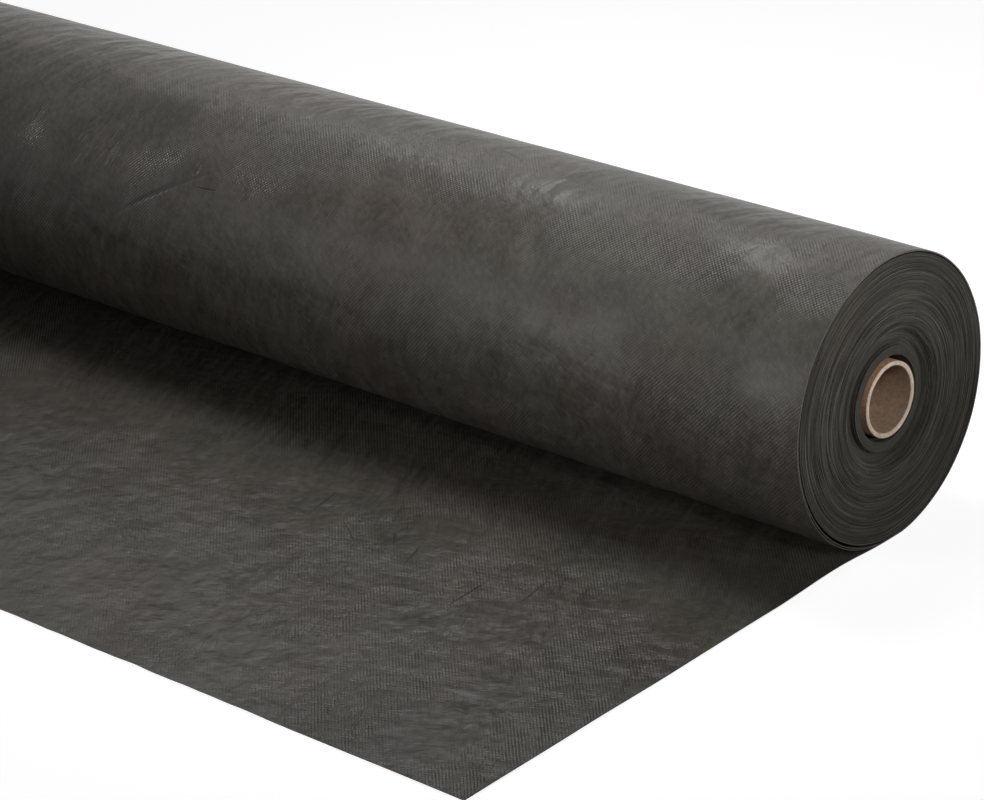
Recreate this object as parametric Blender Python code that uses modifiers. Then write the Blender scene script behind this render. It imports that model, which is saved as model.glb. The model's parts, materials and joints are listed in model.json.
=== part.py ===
"""Roll of facade membrane on a cardboard core, its free end laid out on the floor.

Metres, +Z up, +X along the roll. The origin is at the bottom centre of the whole object.
"""
import math

import bmesh
import bpy

# Membrane web
web_width = 1.5
web_thickness = 0.0006
laid_length = 0.465         # from the contact line with the roll to the cut edge

# Roll
roll_radius = 0.110         # outside of the outermost turn
foot_depth = 0.0005         # how far the roll's own weight flattens it on the floor
outer_sides = 72            # facets in the full circle of the outermost turn
outer_end_angle = math.radians(350)   # where the outermost turn runs in under the next one
slack_depth = 0.0022        # how far the outermost turn hangs off the turns inside it
slack_start = math.radians(250)
slack_end = math.radians(355)
slack_skew = 1.8            # above 1 the widest place of the gap lies lower

# Turns inside the outermost one, each standing for about five turns of the real web
coarse_turns = 24
turn_sides = 36
turn_gap = 0.00045
turn_clearance = 0.0005     # from the turning pack to the outermost turn at the floor

# Dished end of the winding: the first turns slipped along the core while the roll was wound
hub_radius = 0.041
ridge_radius = 0.0565
hub_depth = 0.006

# Cardboard core
core_bore = 0.050
core_wall = 0.0035
core_set_back = 0.001       # rim behind the edges of the web
core_edge = 0.0004          # worn corner of the cut rim
core_weld = 0.00005         # joins the two ends of the full turn
core_sides = 64

# Tape that holds the start of the web on the core
tape_width = 0.050
tape_thickness = 0.0002
tape_end_margin = 0.020
tape_sides = 20

# Low wave in the laid end, just before the roll
wave_height = 0.002
wave_length = 0.128
wave_start = 0.012          # from the contact line
wave_steps = 14

fit_gap = 0.0003            # between pieces that touch

# Sizes worked out from the ones above
axis_y = (laid_length - roll_radius) / 2
axis_z = roll_radius - foot_depth
core_radius = core_bore / 2 + core_wall
core_length = web_width - 2 * core_set_back
pack_radius = axis_z - web_thickness - turn_clearance
tape_radius = (core_radius + fit_gap) / math.cos(math.pi / turn_sides)
start_radius = (tape_radius + tape_thickness + fit_gap) / math.cos(math.pi / turn_sides)
turn_pitch = (pack_radius - start_radius - 2 * web_thickness - turn_gap) / (coarse_turns - 1)


def clear_scene():
    for obj in list(bpy.data.objects):
        bpy.data.objects.remove(obj, do_unlink=True)


def material(name, colour, roughness):
    """A plain non-metal; colour is linear."""
    made = bpy.data.materials.new(name)
    made.use_nodes = True
    shader = made.node_tree.nodes["Principled BSDF"]
    shader.inputs["Base Color"].default_value = (*colour, 1.0)
    shader.inputs["Roughness"].default_value = roughness
    shader.inputs["Metallic"].default_value = 0.0
    return made


def on_circle(radius, angle):
    """Y and Z from the roll's axis. Angle 0 is at the floor, and it grows up the back, as the web winds."""
    return radius * math.sin(angle), -radius * math.cos(angle)


def smooth_step(share):
    share = min(1.0, max(0.0, share))
    return share * share * (3.0 - 2.0 * share)


def add_object(name, mesh, finish, collection, place, parent):
    obj = bpy.data.objects.new(name, mesh)
    mesh.materials.append(finish)
    obj.location = place
    obj.parent = parent
    collection.objects.link(obj)
    return obj


def ribbon(name, stations):
    """An open strip: one edge along X is extruded from station to station, (left x, right x, y, z) each."""
    bm = bmesh.new()
    left, right, y, z = stations[0]
    edge = bm.edges.new((bm.verts.new((left, y, z)), bm.verts.new((right, y, z))))
    for left, right, y, z in stations[1:]:
        grown = bmesh.ops.extrude_edge_only(bm, edges=[edge])["geom"]
        verts = [item for item in grown if isinstance(item, bmesh.types.BMVert)]
        near, far = sorted(verts, key=lambda vert: vert.co.x)
        near.co = (left, y, z)
        far.co = (right, y, z)
        edge = bm.edges.get((near, far))
    mesh = bpy.data.meshes.new(name)
    bm.to_mesh(mesh)
    bm.free()
    return mesh


def thicken(obj, thickness, group=""):
    """Gives a strip its thickness, half to each side of its middle line."""
    solid = obj.modifiers.new("thickness", "SOLIDIFY")
    solid.thickness = thickness
    solid.offset = 0.0
    solid.vertex_group = group


def dish(radius):
    """How far the edge of a turn at this radius has slipped along the core."""
    return hub_depth * smooth_step((ridge_radius - radius) / (ridge_radius - hub_radius))


def winding_surfaces():
    """Inner and outer radius of the band at each station, from the core outwards.

    The band's outer side is a spiral that stops at the pack's radius, and its inner side follows the turn
    below. Both ends taper to the web's own thickness, so the pack is round inside and outside.
    """
    surfaces = []
    for step in range(1, coarse_turns * turn_sides + 1):
        turns = step / turn_sides
        outer = min(pack_radius, start_radius + web_thickness + turn_pitch * turns)
        inner = start_radius
        if turns >= 1:
            inner += web_thickness + turn_pitch * (turns - 1) + turn_gap
        surfaces.append((step, inner, outer))
    return surfaces


def least_turn_gap(surfaces):
    """Smallest distance from an outer corner to the inner side of the turn above it."""
    inner_corners = {step: on_circle(inner, 2 * math.pi * step / turn_sides) for step, inner, _ in surfaces}
    least = math.inf
    for step, _, outer in surfaces:
        y, z = on_circle(outer, 2 * math.pi * step / turn_sides)
        for above in (step + turn_sides - 1, step + turn_sides):
            if above not in inner_corners or above + 1 not in inner_corners:
                continue
            (y0, z0), (y1, z1) = inner_corners[above], inner_corners[above + 1]
            run_y, run_z = y1 - y0, z1 - z0
            share = ((y - y0) * run_y + (z - z0) * run_z) / (run_y * run_y + run_z * run_z)
            share = min(1.0, max(0.0, share))
            least = min(least, math.hypot(y - y0 - share * run_y, z - z0 - share * run_z))
    return least


def wound_web(finish, collection, parent):
    surfaces = winding_surfaces()
    thickest = max(outer - inner for _, inner, outer in surfaces)
    stations = []
    for step, inner, outer in surfaces:
        middle = (inner + outer) / 2
        y, z = on_circle(middle, -2 * math.pi * step / turn_sides)
        slip = dish(middle)
        stations.append((-web_width / 2 - slip, web_width / 2 - slip, y, z))
    obj = add_object("wound_web", ribbon("wound_web", stations), finish, collection, (0, 0, 0), parent)
    group = obj.vertex_groups.new(name="band_thickness")
    for index, (_, inner, outer) in enumerate(surfaces):
        group.add([2 * index, 2 * index + 1], (outer - inner) / thickest, "REPLACE")
    thicken(obj, thickest, group.name)
    print(f"wound_web: {coarse_turns} turns, least gap to itself {least_turn_gap(surfaces) * 1000:.3f} mm")


def outer_turn(finish, collection, parent):
    steps = round(outer_end_angle / (2 * math.pi) * outer_sides)
    stations = []
    for step in range(steps + 1):
        angle = outer_end_angle * step / steps
        share = min(1.0, max(0.0, (angle - slack_start) / (slack_end - slack_start)))
        slack = slack_depth * math.sin(math.pi * share ** slack_skew) ** 2
        y, z = on_circle(roll_radius - web_thickness / 2 + slack, angle)
        z = max(z, web_thickness / 2 - axis_z)
        stations.append((-web_width / 2, web_width / 2, y, z))
    obj = add_object("outer_turn", ribbon("outer_turn", stations), finish, collection, (0, 0, 0), parent)
    thicken(obj, web_thickness)


def start_tape(finish, collection, parent):
    """Lies under the start of the web, which begins one side past angle 0."""
    spread = tape_width / tape_radius
    half_length = web_width / 2 - tape_end_margin
    slip = dish(start_radius)
    stations = []
    for step in range(tape_sides + 1):
        y, z = on_circle(tape_radius + tape_thickness / 2, -spread * step / tape_sides)
        stations.append((-half_length - slip, half_length - slip, y, z))
    obj = add_object("start_tape", ribbon("start_tape", stations), finish, collection, (0, 0, 0), parent)
    thicken(obj, tape_thickness)


def core_tube(finish, collection, parent):
    """A wall section turned about the core's axis; the worn corners are cut off."""
    inside, outside, half = core_bore / 2, core_radius, core_length / 2
    section = [
        (outside - core_edge, half), (outside, half - core_edge),
        (outside, core_edge - half), (outside - core_edge, -half),
        (inside + core_edge, -half), (inside, core_edge - half),
        (inside, half - core_edge), (inside + core_edge, half),
    ]
    mesh = bpy.data.meshes.new("core_tube")
    edges = [(i, (i + 1) % len(section)) for i in range(len(section))]
    mesh.from_pydata([(x, 0, z) for x, z in section], edges, [])
    obj = add_object("core_tube", mesh, finish, collection, (0, 0, 0), parent)
    obj.rotation_euler = (0, math.pi / 2, 0)
    turned = obj.modifiers.new("turned", "SCREW")
    turned.axis = "Z"
    turned.steps = core_sides
    turned.render_steps = core_sides
    turned.use_merge_vertices = True
    turned.merge_threshold = core_weld
    turned.use_smooth_shade = False


def laid_sheet(finish, collection):
    """The free end, flat on the floor but for one low wave before the roll."""
    places = [fit_gap, wave_start]
    places += [wave_start + wave_length * step / wave_steps for step in range(1, wave_steps + 1)]
    places.append(laid_length)
    stations = []
    for place in places:
        share = min(1.0, max(0.0, (place - wave_start) / wave_length))
        height = wave_height * math.sin(math.pi * share) ** 2
        stations.append((-web_width / 2, web_width / 2, -place, height + web_thickness / 2))
    obj = add_object("laid_sheet", ribbon("laid_sheet", stations), finish, collection, (0, axis_y, 0), None)
    thicken(obj, web_thickness)


def main():
    clear_scene()
    collection = bpy.data.collections.new("facade_membrane_roll")
    bpy.context.scene.collection.children.link(collection)
    axis = bpy.data.objects.new("roll_axis", None)
    axis.location = (0, axis_y, axis_z)
    axis.empty_display_size = roll_radius
    collection.objects.link(axis)

    membrane = material("membrane", (0.068, 0.062, 0.057), 0.75)
    cardboard = material("cardboard", (0.45, 0.30, 0.19), 0.85)
    tape = material("adhesive_tape", (0.62, 0.55, 0.42), 0.45)

    core_tube(cardboard, collection, axis)
    start_tape(tape, collection, axis)
    wound_web(membrane, collection, axis)
    outer_turn(membrane, collection, axis)
    laid_sheet(membrane, collection)
    bpy.context.view_layer.update()


main()
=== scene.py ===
# Roll of facade membrane on a cardboard core, its free end laid out: the looks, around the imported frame
import json
import math

import bmesh
import bpy
from mathutils import Matrix, Vector, noise


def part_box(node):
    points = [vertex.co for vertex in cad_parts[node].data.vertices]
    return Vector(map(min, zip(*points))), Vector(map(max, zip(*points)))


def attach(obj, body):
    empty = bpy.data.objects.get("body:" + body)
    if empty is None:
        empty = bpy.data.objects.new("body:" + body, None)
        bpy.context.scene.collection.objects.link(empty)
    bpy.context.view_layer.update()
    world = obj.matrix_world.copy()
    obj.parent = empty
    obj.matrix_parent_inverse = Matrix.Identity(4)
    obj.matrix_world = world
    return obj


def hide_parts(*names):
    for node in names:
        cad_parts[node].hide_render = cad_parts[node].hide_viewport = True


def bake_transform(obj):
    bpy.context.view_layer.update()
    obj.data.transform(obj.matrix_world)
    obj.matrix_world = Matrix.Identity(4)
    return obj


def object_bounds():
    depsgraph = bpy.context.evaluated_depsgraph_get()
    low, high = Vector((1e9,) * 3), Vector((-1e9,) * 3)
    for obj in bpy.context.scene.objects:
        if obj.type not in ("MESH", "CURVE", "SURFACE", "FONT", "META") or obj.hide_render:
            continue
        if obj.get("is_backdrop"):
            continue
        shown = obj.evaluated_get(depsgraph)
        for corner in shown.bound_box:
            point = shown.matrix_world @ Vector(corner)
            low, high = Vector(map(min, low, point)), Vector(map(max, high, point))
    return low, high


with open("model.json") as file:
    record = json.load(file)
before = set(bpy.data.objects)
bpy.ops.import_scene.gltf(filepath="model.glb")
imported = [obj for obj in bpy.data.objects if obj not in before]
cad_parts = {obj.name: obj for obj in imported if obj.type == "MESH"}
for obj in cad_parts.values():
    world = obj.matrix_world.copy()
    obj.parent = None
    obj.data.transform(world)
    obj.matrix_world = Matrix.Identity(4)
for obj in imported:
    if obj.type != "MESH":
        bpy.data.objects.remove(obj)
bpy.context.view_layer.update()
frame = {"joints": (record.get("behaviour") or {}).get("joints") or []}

# Places and sizes that the frame gives
axis = Vector(next(joint["pos_m"] for joint in frame["joints"] if joint["name"] == "roll_turn"))
sheetLow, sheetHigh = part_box("laid_sheet")
woundLow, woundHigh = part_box("wound_web")
coreLow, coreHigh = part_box("core_tube")
tapeLow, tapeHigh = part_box("start_tape")
halfWidth = sheetHigh.x                       # of the web
laidLength = axis.y - sheetLow.y              # from the cut edge to the contact line
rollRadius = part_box("outer_turn")[1].z - axis.z               # up to its top
packRadius = (woundHigh.z - woundLow.z) / 2   # of the turns that turn with the core
hubDepth = -halfWidth - woundLow.x            # how far the first turns have slipped along the core
coreRadius = (coreHigh.z - coreLow.z) / 2
coreHalf = coreHigh.x                         # of its length
sharpAngle = math.radians(50)                 # faces that meet at more than this are shaded apart
print("frame: roll radius", round(rollRadius, 4), "laid length", round(laidLength, 4))


def linear(hexText):
    # sRGB hex to the linear colour that a socket takes
    parts = [int(hexText[i:i + 2], 16) / 255 for i in (1, 3, 5)]
    return (*[c / 12.92 if c <= 0.04045 else ((c + 0.055) / 1.055) ** 2.4 for c in parts], 1.0)


def smoothStep(share):
    share = min(1.0, max(0.0, share))
    return share * share * (3.0 - 2.0 * share)


def onRoll(radius, angle):
    # Y and Z; angle 0 is at the floor and grows up the back, the way the web winds
    return axis.y + radius * math.sin(angle), axis.z - radius * math.cos(angle)


# Materials

def addNode(tree, kind, settings, sockets):
    # a socket, by name or number, takes a value, another node's output, or a node for its first output
    node = tree.nodes.new(kind)
    for name, value in settings.items():
        setattr(node, name, value)
    for name, value in sockets.items():
        if isinstance(value, bpy.types.Node):
            value = value.outputs[0]
        if isinstance(value, bpy.types.NodeSocket):
            tree.links.new(value, node.inputs[name])
        else:
            node.inputs[name].default_value = value
    return node


def newMaterial(name, look):
    made = bpy.data.materials.new(name)
    made.use_nodes = True
    shader = made.node_tree.nodes["Principled BSDF"]
    shader.inputs["Metallic"].default_value = 0.0
    shader.inputs["IOR"].default_value = look["ior"]
    shader.inputs["Roughness"].default_value = look["roughness"]
    shader.inputs["Specular IOR Level"].default_value = look["gloss"]
    return made, made.node_tree, shader


membraneLook = {
    "ior": 1.49, "roughness": 0.34, "gloss": 0.145,
    "dark": "#423e39", "light": "#57534e", "toneFrom": 0.40, "toneTo": 0.60,
    "warm": "#fffaf8", "cool": "#fbfff9",        # tints of the slow colour patches
    "tintSize": 95.0, "tintFrom": 0.35, "tintTo": 0.65,          # mm, and the range of their noise
    "cloudSize": 70.0,         # mm, lighter and darker areas where fibres bunch
    "warpFiner": 0.6, "warpReach": 18.0,         # a slower noise bends what lies on the web, by so many mm
    # bunched fibres: turn in degrees, length, width and height in mm, share of the tone
    "streaks": [
        (107.0, 52.0, 18.0, 2.2, 0.22),
        (12.0, 30.0, 19.0, 1.2, 0.20),
        (58.0, 20.0, 11.0, 0.65, 0.15),
        (114.0, 16.0, 6.0, 0.45, 0.18),
        (30.0, 9.0, 3.4, 0.20, 0.22),
        (75.0, 6.5, 4.5, 0.16, 0.18),
    ],
    # how much of the streaks' height is left, in two steps that add up: m along the web, and the share there
    "tautSteps": [
        ((0.83, 1.0), (0.88, 0.22)),             # pulled smooth from the top of the roll forwards
        ((0.92, 0.0), (1.0, 0.9)),               # and loose again down its front
    ],
    "fibre": "#7d776f", "fibreShare": 0.6,
    "fibreCell": 11.0, "fibreLength": 8.0, "fibreWidth": 0.45,   # mm, wider than the real 0.03 mm to show
    "fibreCore": 0.3,                            # full tone up to this share of a fibre's half width
    "fibreSets": [(1.0, 0.0), (1.35, 0.71), (1.7, 0.37)],        # how much finer, and where each set starts
    "wrinkleTurn": 110.0, "wrinkleLength": 34.0, "wrinkleWidth": 6.5, "wrinkleDepth": 0.14,   # fine ones, mm
    "wrinkleLine": 0.05,       # share of the noise that a wrinkle takes up
    "wrinklePatch": 60.0, "patchFrom": 0.52, "patchTo": 0.66,    # mm, areas with fine wrinkles or without
    # painted shade in the wrinkles and creases: the dark colour and how much of it they take
    "crease": "#24211e", "creaseShare": 0.5, "wrinkleShare": 0.45,
    "creaseDepth": 0.45,       # mm
    "creaseCore": 0.2,         # full depth up to this share of a crease's half width
    # from handling: across and along the web in m, length and width in mm, turn in degrees, bow
    "creases": [
        (0.110, 0.932, 140.0, 7.0, -30.0, -1.0),
        (0.155, 0.922, 32.0, 2.4, -4.0, 1.0),
        (0.349, 0.812, 34.0, 2.4, 100.0, 2.0),
        (0.395, 0.810, 58.0, 2.6, 15.0, -3.0),
        (0.334, 0.815, 18.0, 2.0, -13.0, 0.5),
        (0.373, 0.262, 52.0, 2.2, 101.0, 0.6),
        (0.408, 0.315, 42.0, 2.6, 86.0, 0.8),
        (0.487, 0.237, 50.0, 1.8, 110.0, 0.5),
        (0.560, 0.216, 64.0, 2.0, 92.0, 0.6),
        (0.597, 0.247, 54.0, 2.0, 99.0, -0.5),
        (0.457, 0.250, 30.0, 1.8, 130.0, 0.6),
        (0.423, 0.238, 44.0, 1.8, 146.0, -0.8),
        (-0.310, 0.880, 90.0, 2.8, -24.0, 2.0),
        (-0.180, 0.690, 60.0, 2.4, 112.0, 1.0),
        (-0.420, 0.300, 70.0, 2.4, 104.0, -1.0),
    ],
    "pointAcross": 3.125,      # mm between bonding points along the roll
    "pointAlong": 3.226,       # mm between them along the web
    "pointDepth": 0.20, "laidDepth": 0.13,       # mm, on the roll and, shallower, on the laid end
    "relaxLength": 0.01,       # m to each side of the contact line over which the depth changes
    # how deep they are pressed: a noise, and what a metre across and the clouds add to it
    "pressedAcross": 0.22, "pressedCloud": 0.6,
    "pressedFrom": 0.78, "pressedTo": 1.04, "pressedLeast": 0.08,
    "grain": 2.6, "grainDepth": 0.05,            # mm
}


def bunchedFibres(tree, look, place, bend, onWeb):
    # clouds and streaks: where they lie, their tone, and their height in mm
    cloud = addNode(tree, "ShaderNodeTexNoise", {"noise_dimensions": "2D"},
                    {"Vector": place, "Scale": 1000 / look["cloudSize"], "Detail": 4.0, "Distortion": 0.5})
    tone, height = cloud, 0.0
    for turn, length, width, depth, share in look["streaks"]:
        laid = addNode(tree, "ShaderNodeMapping", {"vector_type": "TEXTURE"},
                       {"Vector": bend, "Rotation": (0, 0, math.radians(turn)),
                        "Scale": (length / 1000, width / 1000, 1)})
        streak = addNode(tree, "ShaderNodeTexNoise", {"noise_dimensions": "2D"},
                         {"Vector": laid, "Scale": 1.0, "Detail": 1.0, "Roughness": 0.5, "Distortion": 0.1})
        tone = addNode(tree, "ShaderNodeMix", {"data_type": "FLOAT"},
                       {"Factor": share, "A": tone, "B": streak})
        height = addNode(tree, "ShaderNodeMath", {"operation": "MULTIPLY_ADD"},
                         {0: streak, 1: depth, 2: height})
    loose = 0.0
    for (begin, before), (end, after) in look["tautSteps"]:
        step = addNode(tree, "ShaderNodeMapRange", {"interpolation_type": "SMOOTHSTEP"},
                       {"Value": onWeb.outputs["Y"], "From Min": begin, "From Max": end,
                        "To Min": before, "To Max": after})
        loose = addNode(tree, "ShaderNodeMath", {"operation": "ADD"}, {0: step, 1: loose})
    height = addNode(tree, "ShaderNodeMath", {"operation": "MULTIPLY"}, {0: height, 1: loose})
    return cloud, tone, height


def membraneColour(tree, look, place, tone):
    # darker and lighter by the tone, in slow patches a little warmer or cooler
    shade = addNode(tree, "ShaderNodeMapRange", {},
                    {"Value": tone, "From Min": look["toneFrom"], "From Max": look["toneTo"]})
    base = addNode(tree, "ShaderNodeMix", {"data_type": "RGBA"},
                   {"Factor": shade, "A": linear(look["dark"]), "B": linear(look["light"])})
    patch = addNode(tree, "ShaderNodeTexNoise", {"noise_dimensions": "2D"},
                    {"Vector": place, "Scale": 1000 / look["tintSize"], "Detail": 1.0})
    patch = addNode(tree, "ShaderNodeMapRange", {},
                    {"Value": patch, "From Min": look["tintFrom"], "From Max": look["tintTo"]})
    tint = addNode(tree, "ShaderNodeMix", {"data_type": "RGBA"},
                   {"Factor": patch, "A": linear(look["warm"]), "B": linear(look["cool"])})
    return addNode(tree, "ShaderNodeMix", {"data_type": "RGBA", "blend_type": "MULTIPLY"},
                   {"Factor": 1.0, "A": base.outputs["Result"], "B": tint.outputs["Result"]})


def thickFibres(tree, look, bend):
    # single ones: a short line in each cell, turned by the cell's own random value
    fibre = 0.0
    for finer, start in look["fibreSets"]:
        moved = addNode(tree, "ShaderNodeVectorMath", {"operation": "ADD"}, {0: bend, 1: (start, start, 0)})
        cell = addNode(tree, "ShaderNodeTexVoronoi", {"voronoi_dimensions": "2D"},
                       {"Vector": moved, "Scale": 1000 * finer / look["fibreCell"], "Randomness": 0.9})
        local = addNode(tree, "ShaderNodeVectorMath", {"operation": "SUBTRACT"},
                        {0: moved, 1: cell.outputs["Position"]})
        hand = addNode(tree, "ShaderNodeSeparateColor", {}, {"Color": cell.outputs["Color"]})
        angle = addNode(tree, "ShaderNodeMath", {"operation": "MULTIPLY"}, {0: hand, 1: math.pi})
        local = addNode(tree, "ShaderNodeVectorRotate", {"rotation_type": "Z_AXIS"},
                        {"Vector": local, "Angle": angle})
        # in halves of its length and width, from metres
        local = addNode(tree, "ShaderNodeVectorMath", {"operation": "MULTIPLY"},
                        {0: local, 1: (2000 * finer / look["fibreLength"], 2000 / look["fibreWidth"], 0)})
        reach = addNode(tree, "ShaderNodeVectorMath", {"operation": "LENGTH"}, {0: local})
        strand = addNode(tree, "ShaderNodeMapRange", {"interpolation_type": "SMOOTHSTEP"},
                         {"Value": reach.outputs["Value"], "From Min": look["fibreCore"], "From Max": 1.0,
                          "To Min": 1.0, "To Max": 0.0})
        strand = addNode(tree, "ShaderNodeMath", {"operation": "MULTIPLY"},
                         {0: strand, 1: hand.outputs["Green"]})
        fibre = addNode(tree, "ShaderNodeMath", {"operation": "MAXIMUM"}, {0: strand, 1: fibre})
    return addNode(tree, "ShaderNodeMath", {"operation": "MULTIPLY"}, {0: fibre, 1: look["fibreShare"]})


def fineWrinkles(tree, look, place, bend):
    # they run where a stretched noise crosses its middle, in patches
    laid = addNode(tree, "ShaderNodeMapping", {"vector_type": "TEXTURE"},
                   {"Vector": bend, "Rotation": (0, 0, math.radians(look["wrinkleTurn"])),
                    "Scale": (look["wrinkleLength"] / 1000, look["wrinkleWidth"] / 1000, 1)})
    swell = addNode(tree, "ShaderNodeTexNoise", {"noise_dimensions": "2D"},
                    {"Vector": laid, "Scale": 1.0, "Detail": 1.0, "Distortion": 0.3})
    away = addNode(tree, "ShaderNodeMath", {"operation": "SUBTRACT"}, {0: swell, 1: 0.5})
    away = addNode(tree, "ShaderNodeMath", {"operation": "ABSOLUTE"}, {0: away})
    line = addNode(tree, "ShaderNodeMapRange", {"interpolation_type": "SMOOTHSTEP"},
                   {"Value": away, "From Min": 0.0, "From Max": look["wrinkleLine"],
                    "To Min": 1.0, "To Max": 0.0})
    patch = addNode(tree, "ShaderNodeTexNoise", {"noise_dimensions": "2D"},
                    {"Vector": place, "Scale": 1000 / look["wrinklePatch"], "Detail": 2.0})
    patch = addNode(tree, "ShaderNodeMapRange", {"interpolation_type": "SMOOTHSTEP"},
                    {"Value": patch, "From Min": look["patchFrom"], "From Max": look["patchTo"]})
    return addNode(tree, "ShaderNodeMath", {"operation": "MULTIPLY"}, {0: line, 1: patch})


def handlingCreases(tree, look, place):
    # each is a bowed line that fades towards its ends, mapped in halves of its length and width
    creases = 0.0
    for across, along, length, width, turn, bow in look["creases"]:
        laid = addNode(tree, "ShaderNodeMapping", {"vector_type": "TEXTURE"},
                       {"Vector": place, "Location": (across, along, 0),
                        "Rotation": (0, 0, math.radians(turn)), "Scale": (length / 2000, width / 2000, 1)})
        split = addNode(tree, "ShaderNodeSeparateXYZ", {}, {"Vector": laid})
        square = addNode(tree, "ShaderNodeMath", {"operation": "MULTIPLY"}, {0: split, 1: split})
        bowed = addNode(tree, "ShaderNodeMath", {"operation": "MULTIPLY_ADD"},
                        {0: square, 1: bow, 2: split.outputs["Y"]})
        joined = addNode(tree, "ShaderNodeCombineXYZ", {}, {"X": split, "Y": bowed})
        reach = addNode(tree, "ShaderNodeVectorMath", {"operation": "LENGTH"}, {0: joined})
        crease = addNode(tree, "ShaderNodeMapRange", {"interpolation_type": "SMOOTHSTEP"},
                         {"Value": reach.outputs["Value"], "From Min": look["creaseCore"], "From Max": 1.0,
                          "To Min": 1.0, "To Max": 0.0})
        creases = addNode(tree, "ShaderNodeMath", {"operation": "MAXIMUM"}, {0: crease, 1: creases})
    return creases


def bondingPoints(tree, look, onWeb, warp, cloud):
    # pressed deeper in some areas than in others and towards one edge of the web
    waves = []
    for socket, pitch in (("X", look["pointAcross"]), ("Y", look["pointAlong"])):
        phase = addNode(tree, "ShaderNodeMath", {"operation": "MULTIPLY"},
                        {0: onWeb.outputs[socket], 1: 2000 * math.pi / pitch})
        waves.append(addNode(tree, "ShaderNodeMath", {"operation": "COSINE"}, {0: phase}))
    points = addNode(tree, "ShaderNodeMath", {"operation": "MULTIPLY"}, {0: waves[0], 1: waves[1]})
    pressed = addNode(tree, "ShaderNodeMath", {"operation": "MULTIPLY_ADD"},
                      {0: onWeb.outputs["X"], 1: look["pressedAcross"], 2: warp})
    pressed = addNode(tree, "ShaderNodeMath", {"operation": "MULTIPLY_ADD"},
                      {0: cloud, 1: look["pressedCloud"], 2: pressed})
    pressed = addNode(tree, "ShaderNodeMapRange", {},
                      {"Value": pressed, "From Min": look["pressedFrom"], "From Max": look["pressedTo"],
                       "To Min": look["pressedLeast"], "To Max": 1.0})
    points = addNode(tree, "ShaderNodeMath", {"operation": "MULTIPLY"}, {0: points, 1: pressed})
    relaxed = addNode(tree, "ShaderNodeMapRange", {},
                      {"Value": onWeb.outputs["Y"], "From Min": laidLength - look["relaxLength"],
                       "From Max": laidLength + look["relaxLength"],
                       "To Min": look["laidDepth"] / look["pointDepth"], "To Max": 1.0})
    return addNode(tree, "ShaderNodeMath", {"operation": "MULTIPLY"}, {0: points, 1: relaxed})


def calenderedMembrane():
    # Polypropylene spunbond, calendered with a diamond of bonding points and coated: matt with a low sheen,
    # cloudy and streaky where the fibres bunch, a little wrinkled and creased from handling
    look = membraneLook
    made, tree, shader = newMaterial("calenderedSpunbondMembrane", look)
    place = addNode(tree, "ShaderNodeUVMap", {"uv_map": "web"}, {})      # metres on the web
    onWeb = addNode(tree, "ShaderNodeSeparateXYZ", {}, {"Vector": place})
    warp = addNode(tree, "ShaderNodeTexNoise", {"noise_dimensions": "2D"},
                   {"Vector": place, "Scale": 1000 * look["warpFiner"] / look["cloudSize"], "Detail": 1.0})
    reach = look["warpReach"] / 1000
    bend = addNode(tree, "ShaderNodeVectorMath", {"operation": "MULTIPLY_ADD"},
                   {0: warp.outputs["Color"], 1: (reach, reach, 0.0), 2: place})

    cloud, tone, height = bunchedFibres(tree, look, place, bend, onWeb)
    base = membraneColour(tree, look, place, tone)
    base = addNode(tree, "ShaderNodeMix", {"data_type": "RGBA"},
                   {"Factor": thickFibres(tree, look, bend), "A": base.outputs["Result"],
                    "B": linear(look["fibre"])})
    wrinkles = fineWrinkles(tree, look, place, bend)
    creases = handlingCreases(tree, look, place)
    # painted shade: the base colour darkens along the fine wrinkles and the creases, as if shade lay in them
    creaseShade = addNode(tree, "ShaderNodeMath", {"operation": "MULTIPLY_ADD"},
                   {0: wrinkles, 1: look["wrinkleShare"], 2: creases})
    creaseShade = addNode(tree, "ShaderNodeMath", {"operation": "MULTIPLY"}, {0: creaseShade, 1: look["creaseShare"]})
    base = addNode(tree, "ShaderNodeMix", {"data_type": "RGBA"},
                   {"Factor": creaseShade, "A": base.outputs["Result"], "B": linear(look["crease"])})
    tree.links.new(base.outputs["Result"], shader.inputs["Base Color"])

    # each bump's distance is its depth in mm; the streaks' height is in mm already
    points = bondingPoints(tree, look, onWeb, warp, cloud)
    grain = addNode(tree, "ShaderNodeTexNoise", {"noise_dimensions": "2D"},
                    {"Vector": place, "Scale": 1000 / look["grain"], "Detail": 2.0, "Roughness": 0.6})
    normal = addNode(tree, "ShaderNodeBump", {}, {"Height": height, "Strength": 1.0, "Distance": 0.001})
    for value, depth in ((wrinkles, -look["wrinkleDepth"]), (creases, -look["creaseDepth"]),
                         (grain, look["grainDepth"]), (points, look["pointDepth"])):
        normal = addNode(tree, "ShaderNodeBump", {"invert": depth < 0},
                         {"Height": value, "Strength": 1.0, "Distance": abs(depth) / 1000,
                          "Normal": normal})
    tree.links.new(normal.outputs["Normal"], shader.inputs["Normal"])
    return made


edgeLook = {
    "ior": 1.49, "roughness": 0.8, "gloss": 0.11,
    "wound": ("#2d2c28", "#66625b"), "outer": ("#5a554f", "#8f8980"),      # dark and light tone
    "toneFrom": 0.32, "toneTo": 0.68,
    "stretch": 85.0,           # mm of the web over which its cut edge keeps its tone
    "glint": "#9b948a",        # painted glint: lighter arcs standing in for turn edges that catch the light
    "glintFiner": 1.7, "glintAbove": 0.60, "glintFull": 0.75, "glintShare": 0.32,
    "ringContrastFrom": 6.0, "ringContrastTo": 14.0, "hubContrast": 0.35,         # m of the web; the first turns show less tone and less painted glint
    "grain": 0.9, "grainShare": 0.3, "grainDepth": 0.2,          # mm
}


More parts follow.
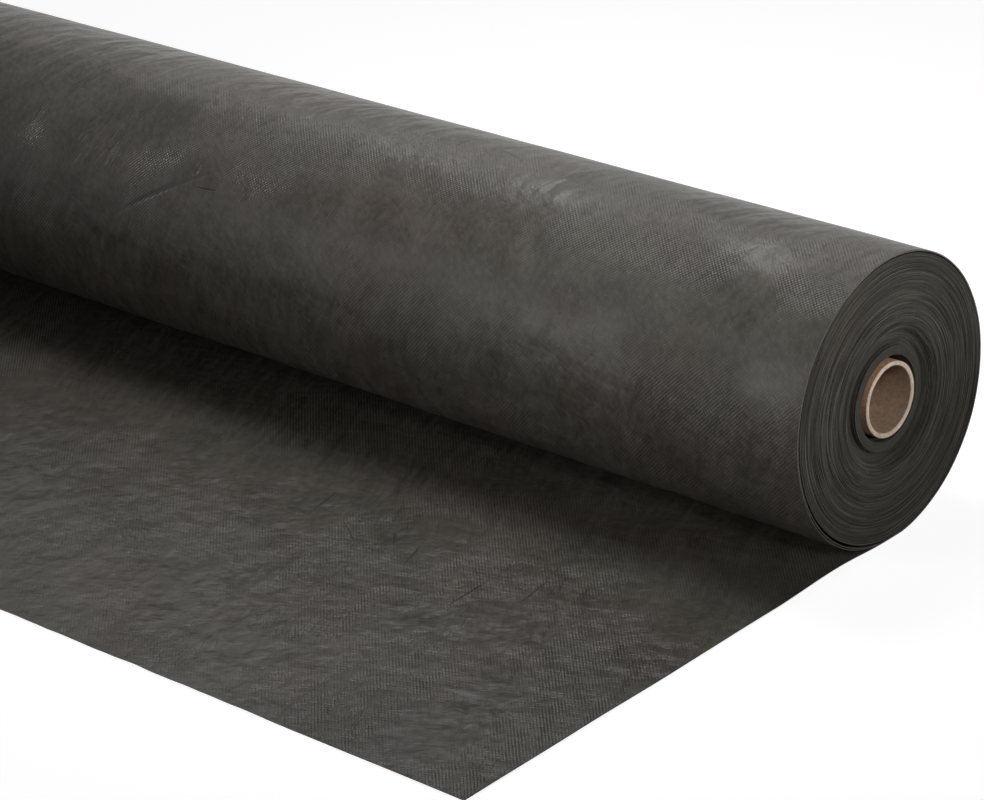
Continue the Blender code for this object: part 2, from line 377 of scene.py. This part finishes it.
def cutMembrane(name, tones):
    # The same web where a knife cut it: matt, the bonded layers open, each turn a little lighter or darker,
    # and some outer turns with a painted glint
    look = edgeLook
    made, tree, shader = newMaterial(name, look)
    place = addNode(tree, "ShaderNodeUVMap", {"uv_map": "web"}, {})
    split = addNode(tree, "ShaderNodeSeparateXYZ", {}, {"Vector": place})
    along = addNode(tree, "ShaderNodeMath", {"operation": "MULTIPLY"},
                    {0: split.outputs["Y"], 1: 1000 / look["stretch"]})
    turnTone = addNode(tree, "ShaderNodeTexNoise", {"noise_dimensions": "1D"},
                       {"W": along, "Scale": 1.0, "Detail": 2.0})
    spot = addNode(tree, "ShaderNodeTexCoord", {}, {})
    grain = addNode(tree, "ShaderNodeTexNoise", {},
                    {"Vector": spot.outputs["Object"], "Scale": 1000 / look["grain"], "Detail": 2.0})
    tone = addNode(tree, "ShaderNodeMix", {"data_type": "FLOAT"},
                   {"Factor": look["grainShare"], "A": turnTone, "B": grain})
    ringContrast = addNode(tree, "ShaderNodeMapRange", {"interpolation_type": "SMOOTHSTEP"},
                   {"Value": split.outputs["Y"], "From Min": look["ringContrastFrom"], "From Max": look["ringContrastTo"],
                    "To Min": look["hubContrast"], "To Max": 1.0})
    tone = addNode(tree, "ShaderNodeMix", {"data_type": "FLOAT"},
                   {"Factor": ringContrast, "A": 0.5, "B": tone})        # 0.5 is the noise's middle
    shade = addNode(tree, "ShaderNodeMapRange", {},
                    {"Value": tone, "From Min": look["toneFrom"], "From Max": look["toneTo"]})
    base = addNode(tree, "ShaderNodeMix", {"data_type": "RGBA"},
                   {"Factor": shade, "A": linear(tones[0]), "B": linear(tones[1])})
    # painted glint: lighter arcs along some turns, standing in for edges that catch the light
    along = addNode(tree, "ShaderNodeMath", {"operation": "MULTIPLY"}, {0: along, 1: look["glintFiner"]})
    glint = addNode(tree, "ShaderNodeTexNoise", {"noise_dimensions": "1D"},
                    {"W": along, "Scale": 1.0, "Detail": 0.0})
    glint = addNode(tree, "ShaderNodeMapRange", {"interpolation_type": "SMOOTHSTEP"},
                    {"Value": glint, "From Min": look["glintAbove"], "From Max": look["glintFull"],
                     "To Max": look["glintShare"]})
    glint = addNode(tree, "ShaderNodeMath", {"operation": "MULTIPLY"}, {0: glint, 1: ringContrast})
    base = addNode(tree, "ShaderNodeMix", {"data_type": "RGBA"},
                   {"Factor": glint, "A": base.outputs["Result"], "B": linear(look["glint"])})
    tree.links.new(base.outputs["Result"], shader.inputs["Base Color"])
    bump = addNode(tree, "ShaderNodeBump", {},
                   {"Height": grain, "Strength": 0.6, "Distance": look["grainDepth"] / 1000})
    tree.links.new(bump.outputs["Normal"], shader.inputs["Normal"])
    return made


cardboardLook = {
    "ior": 1.5, "roughness": 0.88, "gloss": 0.25,
    "wall": "#ac886d", "wallDark": "#8a6950", "bore": "#ad937d", "boreDark": "#967c66",
    "rim": "#f4e2cf", "rimDark": "#dfc8b1", "toneFrom": 0.35, "toneTo": 0.65,
    "boreBelow": 1.5,          # mm; what lies deeper than this in the wall has the bore's colour
    "rimFrom": 1.1, "rimTo": 0.5,                # mm from the core's end, where the rim's colour comes in
    "fibre": 3.0, "fibreDepth": 0.3,             # mm
    "plyTurn": 190.0,          # mm that the outer ply runs along the core in one turn
    "seam": "#4f3a2b", "seamWidth": 0.006, "seamShare": 0.6,     # width as a share of that
}


def spiralCardboard():
    # Grey-brown board, wound in a spiral from glued plies: matt and fibrous. Its sawn rim is paler, because
    # the torn fibres stand open there
    look = cardboardLook
    made, tree, shader = newMaterial("spiralWoundCardboard", look)
    spot = addNode(tree, "ShaderNodeTexCoord", {}, {})
    local = addNode(tree, "ShaderNodeVectorMath", {"operation": "SUBTRACT"},
                    {0: spot.outputs["Object"], 1: axis})
    split = addNode(tree, "ShaderNodeSeparateXYZ", {}, {"Vector": local})
    fibre = addNode(tree, "ShaderNodeTexNoise", {},
                    {"Vector": local, "Scale": 1000 / look["fibre"], "Detail": 4.0, "Roughness": 0.6})
    tone = addNode(tree, "ShaderNodeMapRange", {},
                   {"Value": fibre, "From Min": look["toneFrom"], "From Max": look["toneTo"]})
    wall = addNode(tree, "ShaderNodeMix", {"data_type": "RGBA"},
                   {"Factor": tone, "A": linear(look["wallDark"]), "B": linear(look["wall"])})

    bore = addNode(tree, "ShaderNodeMix", {"data_type": "RGBA"},
                   {"Factor": tone, "A": linear(look["boreDark"]), "B": linear(look["bore"])})
    flat = addNode(tree, "ShaderNodeCombineXYZ", {}, {"X": split.outputs["Y"], "Y": split.outputs["Z"]})
    out = addNode(tree, "ShaderNodeVectorMath", {"operation": "LENGTH"}, {0: flat})
    inside = addNode(tree, "ShaderNodeMath", {"operation": "LESS_THAN"},
                     {0: out.outputs["Value"], 1: coreRadius - look["boreBelow"] / 1000})
    wall = addNode(tree, "ShaderNodeMix", {"data_type": "RGBA"},
                   {"Factor": inside, "A": wall.outputs["Result"], "B": bore.outputs["Result"]})

    # the ply's seam: a helix, where the turn round the axis and the way along it add up to a whole number
    turned = addNode(tree, "ShaderNodeMath", {"operation": "ARCTAN2"},
                     {0: split.outputs["Y"], 1: split.outputs["Z"]})
    turned = addNode(tree, "ShaderNodeMath", {"operation": "DIVIDE"}, {0: turned, 1: 2 * math.pi})
    helix = addNode(tree, "ShaderNodeMath", {"operation": "MULTIPLY_ADD"},
                    {0: split.outputs["X"], 1: 1000 / look["plyTurn"], 2: turned})
    helix = addNode(tree, "ShaderNodeMath", {"operation": "FRACT"}, {0: helix})
    seam = addNode(tree, "ShaderNodeMapRange", {},
                   {"Value": helix, "From Min": 0.0, "From Max": look["seamWidth"],
                    "To Min": look["seamShare"], "To Max": 0.0})
    wall = addNode(tree, "ShaderNodeMix", {"data_type": "RGBA"},
                   {"Factor": seam, "A": wall.outputs["Result"], "B": linear(look["seam"])})

    rim = addNode(tree, "ShaderNodeMix", {"data_type": "RGBA"},
                  {"Factor": tone, "A": linear(look["rimDark"]), "B": linear(look["rim"])})
    reach = addNode(tree, "ShaderNodeMath", {"operation": "ABSOLUTE"}, {0: split.outputs["X"]})
    atRim = addNode(tree, "ShaderNodeMapRange", {"interpolation_type": "SMOOTHSTEP"},
                    {"Value": reach, "From Min": coreHalf - look["rimFrom"] / 1000,
                     "From Max": coreHalf - look["rimTo"] / 1000})
    base = addNode(tree, "ShaderNodeMix", {"data_type": "RGBA"},
                   {"Factor": atRim, "A": wall.outputs["Result"], "B": rim.outputs["Result"]})
    tree.links.new(base.outputs["Result"], shader.inputs["Base Color"])
    bump = addNode(tree, "ShaderNodeBump", {},
                   {"Height": fibre, "Strength": 0.5, "Distance": look["fibreDepth"] / 1000})
    tree.links.new(bump.outputs["Normal"], shader.inputs["Normal"])
    return made


tapeLook = {
    "ior": 1.48, "roughness": 0.45, "gloss": 0.5,
    "dark": "#bfb292", "light": "#d9cdae",
    "crepeWidth": 1.4, "crepeLength": 14.0, "crepeDepth": 0.2,   # mm
}


def paperTape():
    # Creped paper tape, saturated with adhesive on both sides: satin, with fine ridges across it
    look = tapeLook
    made, tree, shader = newMaterial("crepedPaperTape", look)
    place = addNode(tree, "ShaderNodeUVMap", {"uv_map": "web"}, {})
    ridges = addNode(tree, "ShaderNodeMapping", {"vector_type": "TEXTURE"},
                     {"Vector": place, "Scale": (look["crepeWidth"] / 1000, look["crepeLength"] / 1000, 1)})
    crepe = addNode(tree, "ShaderNodeTexNoise", {"noise_dimensions": "2D"},
                    {"Vector": ridges, "Scale": 1.0, "Detail": 2.0})
    base = addNode(tree, "ShaderNodeMix", {"data_type": "RGBA"},
                   {"Factor": crepe, "A": linear(look["dark"]), "B": linear(look["light"])})
    tree.links.new(base.outputs["Result"], shader.inputs["Base Color"])
    bump = addNode(tree, "ShaderNodeBump", {},
                   {"Height": crepe, "Strength": 0.6, "Distance": look["crepeDepth"] / 1000})
    tree.links.new(bump.outputs["Normal"], shader.inputs["Normal"])
    return made


membrane, cardboard, tapePaper = calenderedMembrane(), spiralCardboard(), paperTape()
woundEdge = cutMembrane("knifeCutMembraneEdge", edgeLook["wound"])
# the cut edges of the laid end and the outer turns get a paler tone than those of the wound turns
outerEdge = cutMembrane("paleMembraneEdge", edgeLook["outer"])
print("materials made")


# The web: each stretch starts as a flat grid, is put in place point by point and gets its thickness

def webStretch(name, columns, rows, start, length, place, thickness, finishes):
    # start and length are in metres along the web, and the last of the finishes is for its cut edges; the
    # grid is 1 by 1 round the origin, so place gets a side from -1 to 1
    bm = bmesh.new()
    bmesh.ops.create_grid(bm, x_segments=columns, y_segments=rows, size=0.5)
    layer = bm.loops.layers.uv.new("web")
    for face in bm.faces:
        for loop in face.loops:
            flat = loop.vert.co
            loop[layer].uv = (flat.x * 2 * halfWidth, start + (flat.y + 0.5) * length)
    for vert in bm.verts:
        vert.co = place(vert.co.x * 2, start + (vert.co.y + 0.5) * length)
    mesh = bpy.data.meshes.new(name)
    bm.to_mesh(mesh)
    bm.free()
    piece = bpy.data.objects.new(name, mesh)
    bpy.context.scene.collection.objects.link(piece)
    for finish in finishes:
        mesh.materials.append(finish)
    solid = piece.modifiers.new("thickness", "SOLIDIFY")
    solid.thickness = thickness
    solid.offset = 0.0
    solid.material_offset_rim = len(finishes) - 1
    applied = bpy.data.meshes.new_from_object(piece.evaluated_get(bpy.context.evaluated_depsgraph_get()))
    piece.modifiers.clear()
    piece.data = applied
    bpy.data.meshes.remove(mesh)
    applied.name = name
    applied.shade_smooth()
    applied.set_sharp_from_angle(angle=sharpAngle)
    return piece


web = {
    "thickness": 0.0006,
    "columns": 400, "laidRows": 96, "outerRows": 116, "secondRows": 160,
    # the laid end
    "waveHeight": 0.0019, "waveLength": 0.128, "waveStart": 0.012,     # low wave before the roll
    "wrinkle": 0.0018,                 # height of the wrinkles that run along the web
    "wrinkleAcross": 0.038, "wrinkleAlong": 0.16, "wrinkleSkew": 0.30,
    "finer": 2.1, "finerShare": 0.45, "finerStart": Vector((3.0, 8.0, 1.0)),     # smaller wrinkles on them
    "level": 0.42, "wrinkleShare": 0.45, "broadShare": 0.25,           # what adds up to their height
    "broad": (9.0, 12.0, 0.0, 5.0),    # a slow swell: waves per metre across and along, skew, and its start
    "patch": (3.5, 5.0, 0.0, 9.0), "patchLevel": 0.55, "patchRange": 0.9,        # areas without wrinkles
    "calmLength": 0.05,                # over which they come in, from the roll outwards
    # round the roll
    "cockle": 0.0009,                  # height of the slow ripples
    "slow": (4.5, 13.0, 0.0, 2.0), "slowShare": 0.45,
    "fine": (13.0, 30.0, 9.0, 6.0), "fineShare": 0.42, "cockleDrop": 0.05,
    "calmAngle": 0.4,                  # radians at both ends of the turn over which they come in
    "outerEnd": math.radians(354),
    "tuck": 0.0006, "tuckAngle": 0.2,  # the outer turn's end runs in by this much, over so many radians
    "layerGap": 0.0001,                # between the outer turn and the second one
    "secondSlack": 0.45,               # the second turn hangs by this share of the outer one's slack
    "slackDepth": 0.0016, "slackStart": math.radians(250), "slackEnd": math.radians(355), "slackSkew": 1.8,
    "frontSlack": 0.0003,              # and a little over the whole front
    "frontStart": math.radians(200), "frontEase": 0.7, "frontEnd": 0.2,          # radians to come and to go
}


def ripple(across, along, pattern):
    # smooth noise from -1 to 1 on the web
    acrossWaves, alongWaves, skewWaves, start = pattern
    return noise.noise(Vector((across * acrossWaves + along * skewWaves, along * alongWaves, start)))


def laidPlace(side, along):
    # along runs from the cut edge at 0 to the contact line at laidLength
    before = laidLength - along
    share = min(1.0, max(0.0, (before - web["waveStart"]) / web["waveLength"]))
    wave = web["waveHeight"] * math.sin(math.pi * share) ** 2
    across = side * halfWidth
    skewed = across + along * web["wrinkleSkew"]
    spot = Vector((skewed / web["wrinkleAcross"], along / web["wrinkleAlong"], 0.0))
    long = noise.noise(spot) + web["finerShare"] * noise.noise(spot * web["finer"] + web["finerStart"])
    patch = smoothStep(web["patchLevel"] + web["patchRange"] * ripple(across, along, web["patch"]))
    height = web["level"] + web["wrinkleShare"] * long * patch
    height += web["broadShare"] * ripple(across, along, web["broad"])
    wrinkle = web["wrinkle"] * smoothStep(before / web["calmLength"]) * max(0.0, height)
    return Vector((across, sheetLow.y + along, web["thickness"] / 2 + wave + wrinkle))


def slackAt(angle):
    share = min(1.0, max(0.0, (angle - web["slackStart"]) / (web["slackEnd"] - web["slackStart"])))
    front = smoothStep((angle - web["frontStart"]) / web["frontEase"])
    front *= smoothStep((web["slackEnd"] - angle) / web["frontEnd"])
    belly = web["slackDepth"] * math.sin(math.pi * share ** web["slackSkew"]) ** 2
    return belly + web["frontSlack"] * front


def outerPlace(side, along):
    # along goes on from the contact line, round the roll
    angle = (along - laidLength) / rollRadius
    across = side * halfWidth
    cockle = web["slowShare"] * ripple(across, along, web["slow"])
    cockle += web["fineShare"] * ripple(across, along, web["fine"]) - web["cockleDrop"]
    calm = smoothStep(angle / web["calmAngle"]) * smoothStep((web["outerEnd"] - angle) / web["calmAngle"])
    radius = rollRadius - web["thickness"] / 2 + slackAt(angle)
    radius += web["cockle"] * calm * cockle
    radius -= web["tuck"] * smoothStep((angle - web["outerEnd"]) / web["tuckAngle"] + 1.0)
    y, z = onRoll(radius, angle)
    return Vector((across, y, max(z, web["thickness"] / 2)))


def secondPlace(side, along):
    # the next turn, just inside the outer one, which hangs a little loose too
    angle = (along - laidLength) / rollRadius
    below = web["thickness"] + web["layerGap"]
    slack = web["secondSlack"] * slackAt(angle - 2 * math.pi)
    y, z = onRoll(rollRadius - web["thickness"] / 2 - below + slack, angle)
    return Vector((side * halfWidth, y, max(z, web["thickness"] / 2 + below)))


laidSheet = webStretch("laid_web", web["columns"], web["laidRows"], 0.0, laidLength, laidPlace,
                       web["thickness"], [membrane, outerEdge])
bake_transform(laidSheet)
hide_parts("laid_sheet")

outerLength = web["outerEnd"] * rollRadius
outerTurn = webStretch("outer_web", web["columns"], web["outerRows"], laidLength, outerLength, outerPlace,
                       web["thickness"], [membrane, outerEdge])
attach(outerTurn, "roll_skin")
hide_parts("outer_turn")

secondStart = laidLength + outerLength
secondLength = 2 * math.pi * rollRadius
secondTurn = webStretch("second_web", 1, web["secondRows"], secondStart, secondLength, secondPlace,
                        web["thickness"], [membrane, outerEdge])
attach(secondTurn, "roll_skin")
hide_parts("outer_turn")
print("laid end and the two outer turns made")


# The wound turns: one spiral band, its edges slipped into the dished end
winding = {
    "turns": 120, "stationsPerTurn": 128, "air": 0.00012,
    "clearance": 0.0003,               # from the frame's pack inwards, where the second turn lies
    "coreGap": 0.0026,                 # from the core to the first turn
    "profile": [                       # radius, and how far in the edges lie there, as a share of hubDepth
        (0.0311, 1.90), (0.0319, 1.60),                       # crevice at the core
        (0.0330, 0.52), (0.0392, 0.50),                       # hub
        (0.0408, 1.15), (0.0440, 1.25), (0.0485, 0.80),       # groove round it
        (0.0530, 0.05), (0.0548, -0.16), (0.0575, 0.05),      # ridge
        (0.0620, 0.0),                                        # flat outside
    ],
    # edges that stray: depth in m, waves per turn outwards and round the roll, and where the noise starts
    "single": (0.00036, 0.83, 0.5, 0.0, 3.0),                 # one turn by itself
    "lift": (0.0011, 1.3, 2.6, 0.0, 5.0), "liftAbove": 0.25,  # short stretches that stand out
    "cluster": 0.0008,                                        # depth in m of neighbours that stray together
    "slow": (0.4, 0.11, 0.6, 0.0, 0.0), "band": (0.6, 0.42, 1.1, 7.0, 0.0),       # with shares of it first
    "evenTo": 0.30, "evenEase": 0.15, "evenShare": 0.35,      # the hub is wound more evenly
}


def slip(radius):
    profile = winding["profile"]
    share = profile[0][1]
    for (low, before), (high, after) in zip(profile, profile[1:]):
        if radius > low:
            share = before + (after - before) * smoothStep((radius - low) / (high - low))
    return hubDepth * share


def straying(angle, turn, pattern):
    # smooth noise from -1 to 1
    perTurn, perRadius, startY, startZ = pattern[1:]
    return noise.noise(Vector((turn * perTurn, math.sin(angle) * perRadius + startY,
                               math.cos(angle) * perRadius + startZ)))


def strayEdge(angle, turn):
    # winding is never exact: single turns stray, and neighbours run out together over part of a turn
    single, slow, band, lift = (winding[name] for name in ("single", "slow", "band", "lift"))
    loose = smoothStep((turn / winding["turns"] - winding["evenTo"]) / winding["evenEase"])
    loose = winding["evenShare"] + (1.0 - winding["evenShare"]) * loose
    together = slow[0] * straying(angle, turn, slow) + band[0] * straying(angle, turn, band)
    lifted = max(0.0, straying(angle, turn, lift) - winding["liftAbove"])
    return loose * (single[0] * straying(angle, turn, single) + winding["cluster"] * together
                    + lift[0] * lifted)


woundOuter = packRadius - winding["clearance"]
woundInner = coreRadius + winding["coreGap"]
turnPitch = (woundOuter - woundInner) / winding["turns"]
woundLength = math.pi * (woundInner + woundOuter) * winding["turns"]


def woundPlace(side, along):
    turn = along / woundLength * winding["turns"]
    angle = -2 * math.pi * turn
    radius = woundInner + turnPitch / 2 + (woundOuter - woundInner - turnPitch) * turn / winding["turns"]
    y, z = onRoll(radius, angle)
    return Vector((side * halfWidth - slip(radius) + side * strayEdge(angle, turn), y, z))


wound = webStretch("wound_turns", 1, winding["turns"] * winding["stationsPerTurn"], 0.0, woundLength,
                   woundPlace, turnPitch - winding["air"], [membrane, woundEdge])
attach(wound, "wound_core")
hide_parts("wound_web")
print("winding made:", winding["turns"], "turns,", round(woundLength, 1), "m of web")


# The core: half its wall's section, with a rounded ply at each step of the rim, spun and mirrored
core = {
    "bore": 0.025, "plies": 7, "plyNotch": 0.00012, "plyRound": 0.25, "steps": 160,
    "wornIn": 0.0006, "wornBack": 0.0010,        # the bore's edge, worn round by the unwinding bar
    "wornMiddle": (0.35, 0.5),                   # shares of both, halfway round it
    "fray": 0.00015, "frayPerMetre": 300.0, "fraySide": 0.4, "fraySeed": 5,
    "weld": 0.00001,
}
ply = (coreRadius - core["bore"]) / core["plies"]
backMiddle, inMiddle = core["wornMiddle"]
section = [(0.0, core["bore"]), (coreHalf - core["wornBack"], core["bore"]),
           (coreHalf - core["wornBack"] * backMiddle, core["bore"] + core["wornIn"] * inMiddle)]
for number in range(1, core["plies"]):
    low = core["bore"] + ply * number
    section += [(coreHalf - core["plyNotch"], low), (coreHalf, low + ply * core["plyRound"]),
                (coreHalf, low + ply * (1.0 - core["plyRound"]))]
section += [(coreHalf - core["plyNotch"], coreRadius), (0.0, coreRadius)]

bm = bmesh.new()
corners = [bm.verts.new((x, axis.y, axis.z + radius)) for x, radius in section]
sides = [bm.edges.new(pair) for pair in zip(corners, corners[1:])]
bmesh.ops.spin(bm, geom=corners + sides, cent=axis, axis=(1, 0, 0), angle=2 * math.pi, steps=core["steps"],
               use_merge=True)
bmesh.ops.mirror(bm, geom=bm.verts[:] + bm.edges[:] + bm.faces[:], axis="X", merge_dist=core["weld"])
bmesh.ops.remove_doubles(bm, verts=bm.verts, dist=core["weld"])
bmesh.ops.recalc_face_normals(bm, faces=bm.faces)
noise.seed_set(core["fraySeed"])                 # without it noise_vector starts from the clock
for vert in bm.verts:
    shake = noise.noise_vector(vert.co * core["frayPerMetre"]) * core["fray"]
    vert.co += Vector((shake.x, shake.y * core["fraySide"], shake.z * core["fraySide"]))
coreMesh = bpy.data.meshes.new("core")
bm.to_mesh(coreMesh)
bm.free()
coreMesh.materials.append(cardboard)
coreMesh.shade_smooth()
coreMesh.set_sharp_from_angle(angle=sharpAngle)
coreTube = bpy.data.objects.new("cardboard_core", coreMesh)
bpy.context.scene.collection.objects.link(coreTube)
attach(coreTube, "wound_core")
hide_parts("core_tube")
print("core made")


# The tape between the core and the start of the web
tape = {"width": 0.050, "thickness": 0.0002, "lift": 0.0004, "columns": 40, "rows": 24}


def tapePlace(side, along):
    y, z = onRoll(coreRadius + tape["lift"], -along / coreRadius)
    middle, half = (tapeLow.x + tapeHigh.x) / 2, (tapeHigh.x - tapeLow.x) / 2
    return Vector((middle + side * half, y, z))


startTape = webStretch("tape_strip", tape["columns"], tape["rows"], 0.0, tape["width"], tapePlace,
                       tape["thickness"], [tapePaper])
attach(startTape, "wound_core")
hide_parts("start_tape")
print("tape made")


# Camera: the photograph's view, worked out for a picture of 984 by 800
view = {
    "place": (2.2358, -1.8390, 1.2683),                       # metres
    "yaw": 42.8989, "pitch": 24.638, "roll": -3.1956,         # degrees
    "lens": 141.02, "sensor": 36.0,                           # mm
}
yaw, pitch, roll = (math.radians(view[name]) for name in ("yaw", "pitch", "roll"))
ahead = Vector((-math.sin(yaw) * math.cos(pitch), math.cos(yaw) * math.cos(pitch), -math.sin(pitch)))
level = Vector((math.cos(yaw), math.sin(yaw), 0))
upright = level.cross(ahead)
right = level * math.cos(roll) + upright * math.sin(roll)
up = upright * math.cos(roll) - level * math.sin(roll)
camera = bpy.data.objects.new("camera", bpy.data.cameras.new("camera"))
camera.data.lens = view["lens"]
camera.data.sensor_width = view["sensor"]
camera.matrix_world = Matrix.Translation(view["place"]) @ Matrix((right, up, -ahead)).transposed().to_4x4()
bpy.context.scene.collection.objects.link(camera)
bpy.context.scene.camera = camera


# Floor, background and lamps
studio = {
    "floorSize": 12.0, "floorDrop": 0.0002, "floorCells": 8,
    "floorLook": {"ior": 1.45, "roughness": 0.9, "gloss": 0.1},
    "floorColour": "#808080", "floorGlow": 0.92,
    "ambient": 0.01,           # the background's own light on the roll; it is white where it is seen
    "lamps": [      # name, place, aim, size, beam in degrees, watts
        ("over", (-0.25, 0.62, 1.72), (0.40, 0.30, 0.1), 0.8, 60.0, 3.1),
        ("overLeft", (-0.9, 0.95, 1.60), (0.4, 0.15, 0.1), 0.8, 180.0, 2.0),
        ("frontLow", (-0.3, -1.3, 0.30), (0.65, 0.08, 0.22), 0.6, 50.0, 0.37),
        ("frontMid", (-0.15, -1.25, 0.80), (0.66, 0.08, 0.36), 0.5, 40.0, 0.42),
        ("frontWide", (-0.75, -1.35, 0.85), (0.15, 0.08, 0.36), 0.5, 60.0, 0.40),
        ("frontLeft", (-1.00, -1.25, 0.80), (-0.70, 0.02, 0.14), 0.4, 30.0, 0.18),
        ("end", (2.1, 0.45, 0.45), (0.75, 0.12, 0.22), 0.2, 24.0, 0.17),
        ("endFront", (1.6, -0.52, 1.0), (0.75, 0.15, 0.29), 0.3, 26.0, 0.16),
        ("endLeft", (-2.1, 0.10, 0.50), (-0.75, 0.16, 0.16), 0.2, 24.0, 0.17),
    ],
}


def seenDirectly(tree):
    # 1 for camera, glossy and transmission rays
    rays = addNode(tree, "ShaderNodeLightPath", {}, {})
    seen = addNode(tree, "ShaderNodeMath", {"operation": "MAXIMUM"},
                   {0: rays.outputs["Is Camera Ray"], 1: rays.outputs["Is Glossy Ray"]})
    return addNode(tree, "ShaderNodeMath", {"operation": "MAXIMUM"},
                   {0: seen, 1: rays.outputs["Is Transmission Ray"]})


def paleFloor():
    # Painted studio floor: matt; it glows for the camera, so that it is white but keeps the shadow
    made, tree, shader = newMaterial("paintedStudioFloor", studio["floorLook"])
    shader.inputs["Base Color"].default_value = linear(studio["floorColour"])
    strength = addNode(tree, "ShaderNodeMath", {"operation": "MULTIPLY"},
                       {0: seenDirectly(tree), 1: studio["floorGlow"]})
    glow = addNode(tree, "ShaderNodeEmission", {}, {"Color": (1, 1, 1, 1), "Strength": strength})
    both = addNode(tree, "ShaderNodeAddShader", {}, {0: shader, 1: glow})
    tree.links.new(both.outputs["Shader"], tree.nodes["Material Output"].inputs["Surface"])
    return made


bm = bmesh.new()
bmesh.ops.create_grid(bm, x_segments=studio["floorCells"], y_segments=studio["floorCells"],
                      size=studio["floorSize"])
bmesh.ops.translate(bm, verts=bm.verts, vec=(0, 0, -studio["floorDrop"]))
floorMesh = bpy.data.meshes.new("floor")
bm.to_mesh(floorMesh)
bm.free()
floorMesh.materials.append(paleFloor())
floor = bpy.data.objects.new("floor", floorMesh)
bpy.context.scene.collection.objects.link(floor)
floor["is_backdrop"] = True

world = bpy.data.worlds.new("studio")
bpy.context.scene.world = world
world.use_nodes = True
sky = world.node_tree
strength = addNode(sky, "ShaderNodeMapRange", {},
                   {"Value": seenDirectly(sky), "To Min": studio["ambient"], "To Max": 1.0})
sky.nodes["Background"].inputs["Color"].default_value = (1, 1, 1, 1)
sky.links.new(strength.outputs["Result"], sky.nodes["Background"].inputs["Strength"])

for name, place, aim, size, beam, watts in studio["lamps"]:
    lamp = bpy.data.lights.new(name, "AREA")
    lamp.shape = "SQUARE"
    lamp.size = size
    lamp.spread = math.radians(beam)
    lamp.energy = watts
    lampObject = bpy.data.objects.new(name, lamp)
    lampObject.location = place
    lampObject.rotation_euler = (Vector(aim) - Vector(place)).to_track_quat("-Z", "Y").to_euler()
    bpy.context.scene.collection.objects.link(lampObject)

bpy.context.scene.view_settings.view_transform = "Standard"
print("camera, floor and lamps made")

low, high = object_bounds()
